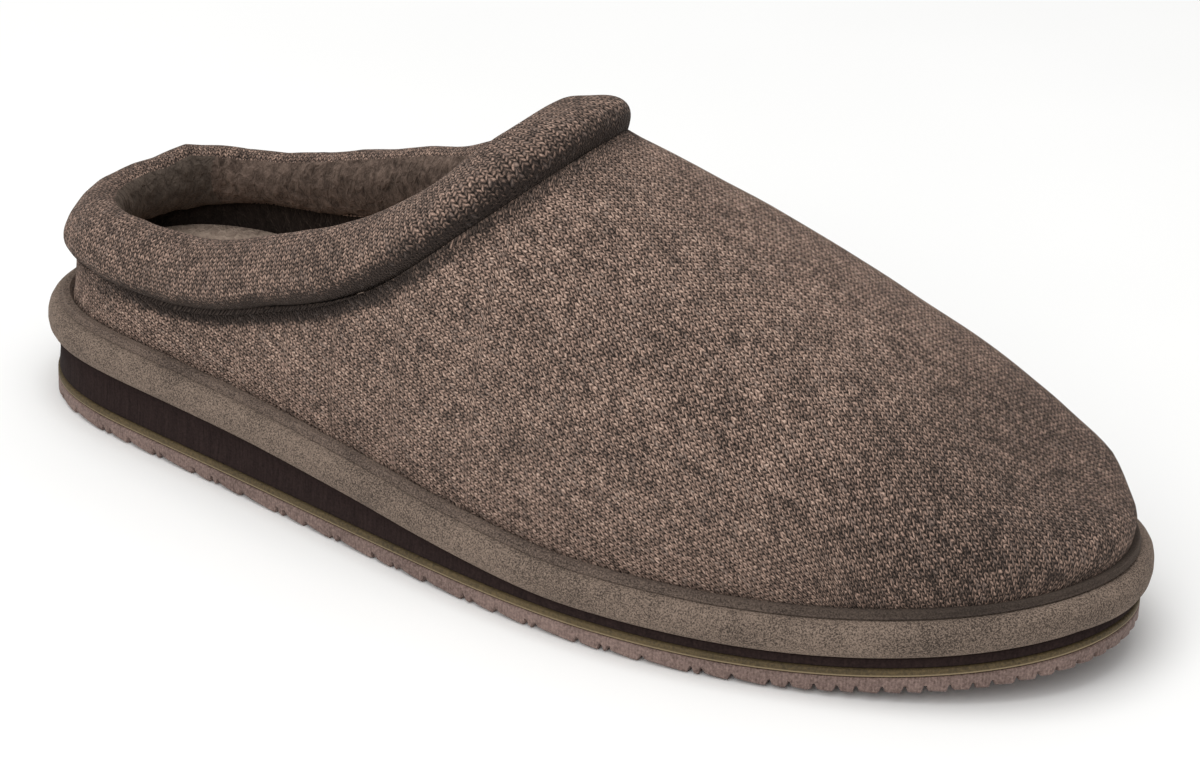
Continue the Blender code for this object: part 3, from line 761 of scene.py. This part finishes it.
def wale_tables(tree, side):
    """For stations and angles on a flank: how far a point lies from the ridge, and how far along the foot."""
    # Rays below the first station's would pass under the toe.
    lowest, last = 22, 90 + STRAIGHT + 90
    stations = np.arange(lowest, last + 0.1, 2.0)
    angles = np.linspace(0, 90, 61)
    spots = np.full((len(stations), len(angles), 3), np.nan)
    for i, station in enumerate(stations):
        for j, angle in enumerate(angles):
            origin, way = flank_ray(station, angle, side)
            hit, normal, _, _ = tree.ray_cast(origin + way * 0.3, -way)
            if hit is not None and normal.dot(way) > 0.05 and (hit - origin).dot(way) > 0:
                spots[i, j] = hit
    # A station that meets no cloth takes the next one's points.
    for i in range(len(stations) - 2, -1, -1):
        if np.isnan(spots[i]).all():
            spots[i] = spots[i + 1]
    girth = np.zeros(spots.shape[:2])
    for i in range(len(stations)):
        good = ~np.isnan(spots[i, :, 0])
        first = int(np.argmax(good))
        spots[i, :first] = spots[i, first]
        good[:first] = True
        top = np.argmin(good) if not good.all() else len(angles)
        spots[i, top:] = spots[i, top - 1]
        steps = np.linalg.norm(np.diff(spots[i], axis=0), axis=1)
        girth[i] = np.concatenate([[0], np.cumsum(steps)])
        if top < len(angles):
            girth[i, top:] += np.arange(len(angles) - top) * MM
    # Behind the front of the opening there is no ridge, so the girth at that front stands for it.
    whole = girth[:, -1].copy()
    mouth = int(np.argmax(stations >= 90 + (FRONT_HUB - MOUTH_FRONT) / MM))
    whole[mouth:] = whole[mouth]
    from_ridge = whole[:, None] - girth
    # Along: step from station to station at the same distance from the ridge.
    lines = np.linspace(0, whole.max(), 70)
    along = np.zeros((len(stations), len(lines)))
    placed = np.empty((len(stations), len(lines), 3))
    for i in range(len(stations)):
        order = np.argsort(from_ridge[i])
        for k in range(3):
            placed[i, :, k] = np.interp(lines, from_ridge[i][order], spots[i, order, k])
    steps = np.linalg.norm(np.diff(placed, axis=0), axis=2)
    low = from_ridge.min(axis=1)[:, None]
    # Over the opening there is no cloth: the step at its edge stands for those beyond it.
    for i in range(len(stations) - 1):
        missing = lines < max(low[i, 0], low[i + 1, 0])
        if missing.any() and not missing.all():
            steps[i, missing] = steps[i, ~missing][0]
    along[1:] = np.cumsum(steps, axis=0)
    along -= along[mouth]
    return stations, angles, from_ridge, lines, along


def blend_at(table, rows, columns, row, column):
    """The table's value between its rows and columns."""
    r = np.clip(np.interp(row, rows, np.arange(len(rows))), 0, len(rows) - 1.001)
    c = np.clip(np.interp(column, columns, np.arange(len(columns))), 0, len(columns) - 1.001)
    i, j = r.astype(int), c.astype(int)
    s, t = r - i, c - j
    near = table[i, j] * (1 - s) * (1 - t) + table[i + 1, j] * s * (1 - t)
    return near + table[i, j + 1] * (1 - s) * t + table[i + 1, j + 1] * s * t


def lay_knit(bm):
    """Places the cloth: wales run with the foot at a steady distance from its ridge, and over the toe."""
    tree = BVHTree.FromBMesh(bm)
    layer = bm.loops.layers.uv["weave"]
    tables = {side: wale_tables(tree, side) for side in (-1, 1)}
    corners, spots, sides = [], [], []
    for face in bm.faces:
        c = face.calc_center_median()
        side = -1 if c.y < middle(np.clip(c.x, BACK_HUB, FRONT_HUB)) else 1
        for corner in face.loops:
            corners.append(corner)
            spots.append(tuple(corner.vert.co))
            sides.append(side)
    spots, sides = np.array(spots), np.array(sides)
    where = np.zeros((len(spots), 2))
    for side, (stations, angles, from_ridge, lines, along) in tables.items():
        mine = sides == side
        station, angle = flank_frame(spots[mine], side)
        across = blend_at(from_ridge, stations, angles, station, angle)
        where[mine, 0] = side * across
        where[mine, 1] = blend_at(along, stations, lines, station, across)
    for corner, place in zip(corners, where):
        corner[layer].uv = place


CLOTH_STATIONS = 672
OUTER_ROWS = 56
INNER_ROWS = 26


def make_upper(knit, lining):
    """One knitted upper with its lining: a shell open at the collar and underneath."""
    grid = ring_grid("upper", lambda ring: min(ring, key=lambda v: round(v.co.z, 4) * 10 + v.co.x))
    outer = finer_open(grid[:, :12], OUTER_ROWS, 1)
    inner = finer_open(grid[:, 12:], INNER_ROWS, 1)
    fine = finer(np.concatenate([outer, inner], axis=1), CLOTH_STATIONS)
    fine = np.concatenate([fine, fine[:1]])
    fine = np.concatenate([fine, fine[:, :1]], axis=1)
    normal = np.cross(np.gradient(fine, axis=0), np.gradient(fine, axis=1))
    normal /= np.linalg.norm(normal, axis=2, keepdims=True) + 1e-12
    if (normal[:, 30] * (fine[:, 30] - fine[:, 30].mean(axis=0))).sum() < 0:
        normal = -normal
    outside = fine[:, :OUTER_ROWS]
    away = normal[:, :OUTER_ROWS]
    lumps = soft_noise(outside, 0.030, 3.0) * 0.45 * MM + soft_noise(outside, 0.011, 9.0) * 0.16 * MM
    lumps[-1] = lumps[0]
    # The toe is puffed out by its stiffener, and the top is drawn in where the roll is sewn on.
    row = np.arange(OUTER_ROWS)
    toe = np.clip((outside[..., 0] - 0.098) / 0.030, 0, 1) ** 2
    toe = toe * np.sin(np.pi * np.clip(row / 34, 0, 1)) ** 0.7
    steps = np.linalg.norm(np.diff(outside, axis=1), axis=2)
    down = np.cumsum(steps[:, ::-1], axis=1)[:, ::-1]
    from_seam = np.concatenate([down, np.zeros((len(fine), 1))], axis=1) / MM
    deep = np.interp(outside[..., 0], [-0.125, -0.095, -0.050, -0.010], [0.2, 1.0, 1.0, 0.3])
    tuck = np.interp(from_seam, [0, 3, 7, 13], [-2.2, -1.9, -0.6, 0.0]) * deep
    lumps = lumps * np.minimum(row, 6) / 6 * np.clip(from_seam / 8, 0.2, 1) + 1.9 * toe * MM
    outside += away * lumps[..., None]
    drawn = np.zeros(fine.shape)
    drawn[:, :OUTER_ROWS] = away * (tuck * MM)[..., None]
    weave = np.zeros(fine.shape[:2] + (2,))
    painted_shade = np.zeros(fine.shape[:2])
    # Painted shade: the knit is drawn darker round the toe.
    painted_toe_shade = 0.17 * np.clip((outside[..., 0] - 0.085) / 0.03, 0, 1)
    # Painted shade: the knit is drawn darker in the crease just below the roll.
    crease = np.interp(from_seam, [2.8, 4.0, 6.0], [1.0, 0.7, 0.0]) * deep
    painted_shade[:, :OUTER_ROWS] = np.maximum(crease, painted_toe_shade)
    bm = cover(fine, weave, lambda row: 0 if row <= OUTER_ROWS else 1, painted_shade, drawn)
    lay_knit(bm)
    draw_in(bm)
    piece = put("knitted_upper", bm, [knit, lining])
    ride(piece, "upper")


# ---------------------------------------------------------------- collar
# Points round the roll's section, 5 degrees apart from its outer side over the top, those of them on fleece,
# and where the heel's lining starts.
SECTION = 72
FLEECE_ROWS = range(27, 58)
HEEL_SEAM = -0.1235
# Along the far rim, and how far it is raised there in mm: it peaks at the corner where the heel lining is
# sewn in, dips ahead of it and swells at the waist.
RIM_SPOTS = [-0.137, -0.132, -0.126, -0.118, -0.107, -0.096, -0.082, -0.067, -0.052, -0.035, -0.020]
RIM_RISES = [-0.4, 1.6, 0.3, -1.4, -1.1, 0.5, 1.3, 0.3, -1.0, -0.6, 0.0]


def make_collar(knit, fleece, heel_lining):
    """Padded roll: knit outside and over the top, fleece on the side to the foot, smoother lining at the heel.

    Its outer side droops over the seam, which makes the deep crease below it.
    """
    grid = ring_grid("collar", lambda ring: min(ring, key=lambda v: v.co.x))
    fine = finer(finer(grid, CLOTH_STATIONS).transpose(1, 0, 2), SECTION).transpose(1, 0, 2)
    core = fine.mean(axis=1, keepdims=True)
    out = fine - core
    out /= np.linalg.norm(out, axis=2, keepdims=True)
    angle = (np.arange(SECTION) * 5.0 - 30.0 + 180) % 360 - 180
    ahead = np.clip((core[..., 0] + 0.035) / 0.025, 0, 1)
    droop = 1.3 * np.exp(-(((angle + 35) / 26) ** 2))
    droop = (droop + 2.0 * ahead * np.exp(-(((angle + 42) / 34) ** 2))) * MM
    lumps = soft_noise(fine, 0.016, 5.0) * 0.45 * MM + soft_noise(fine, 0.006, 2.0) * 0.15 * MM
    fine = fine + out * (lumps + droop)[..., None]
    x, y = core[..., 0], core[..., 1]
    # The near side sags at its middle.
    sag = 1.3 * np.clip(-y / 0.012, 0, 1)
    sag = sag * np.clip((-0.028 - x) / 0.05, 0, 1) * np.clip((0.140 + x) / 0.02, 0, 1)
    wavy = np.interp(x, RIM_SPOTS, RIM_RISES) * np.clip((y - 0.010) / 0.007, 0, 1)
    fine[..., 2] += (wavy * np.clip(0.5 + 0.7 * np.sin(np.radians(angle)), 0, 1) - sag) * MM
    seam = np.exp(-(((x - HEEL_SEAM) / 0.0011) ** 2)) * (y > 0) * np.clip((angle - 80) / 20, 0, 1)
    curls = soft_noise(fine, 0.0032, 4.0) * 0.5 * MM * ((angle > 108) | (angle < -105))
    fine = fine + out * (curls - 0.9 * MM * seam)[..., None]
    round_way = np.linalg.norm(np.roll(core[:, 0], -1, axis=0) - core[:, 0], axis=1)
    along = np.concatenate([[0], np.cumsum(round_way)])
    section = np.linalg.norm(np.roll(fine, -1, axis=1) - fine, axis=2).mean(axis=0)
    across = np.concatenate([[0], np.cumsum(section)])
    fine = np.concatenate([fine, fine[:1]])
    fine = np.concatenate([fine, fine[:, :1]], axis=1)
    # The knit below the fleece is counted back from the outer side, so that the wales join there.
    across[FLEECE_ROWS.stop :] -= across[-1]
    weave = np.stack(np.meshgrid(along, across, indexing="ij"), -1)
    # Painted shade: the knit is drawn darker where the roll turns under towards the upper.
    crease = np.interp(np.arange(SECTION + 1), [57, 58, 62, 71], [0, 1, 0.8, 0])
    bm = cover(fine, weave, lambda row: 1 if row in FLEECE_ROWS else 0, np.tile(crease, (len(fine), 1)))
    for face in bm.faces:
        if face.material_index == 1 and face.calc_center_median().x < HEEL_SEAM:
            face.material_index = 2
    piece = put("collar_roll", bm, [knit, fleece, heel_lining])
    ride(piece, "collar")


make_camera()
make_studio()
make_outsole()
make_rim()
make_midsole()
make_platform(split_suede("split_suede", "#8B7A6D", "#3A322D"))
# The strip's dark toe colour is painted shade.
make_strip(split_suede("split_suede_strip", "#7C6C61", "#352D29", "#2E2824"))
make_insole(brushed_fleece("brushed_fleece_footbed", "#BAA696", "#8A796D"))
make_upper(
    heathered_knit("heathered_wool_knit", 0.355, 0.21),
    # The lining inside the upper is near black: painted shade.
    brushed_fleece("brushed_fleece_lining_in_painted_shade", "#2E2622", "#14100E"),
)
make_collar(
    heathered_knit("heathered_wool_knit_roll", 0.26, 0.0),
    brushed_fleece("brushed_fleece", "#726157", "#332A25"),
    brushed_fleece("brushed_heel_lining", "#574D45", "#352E29"),
)
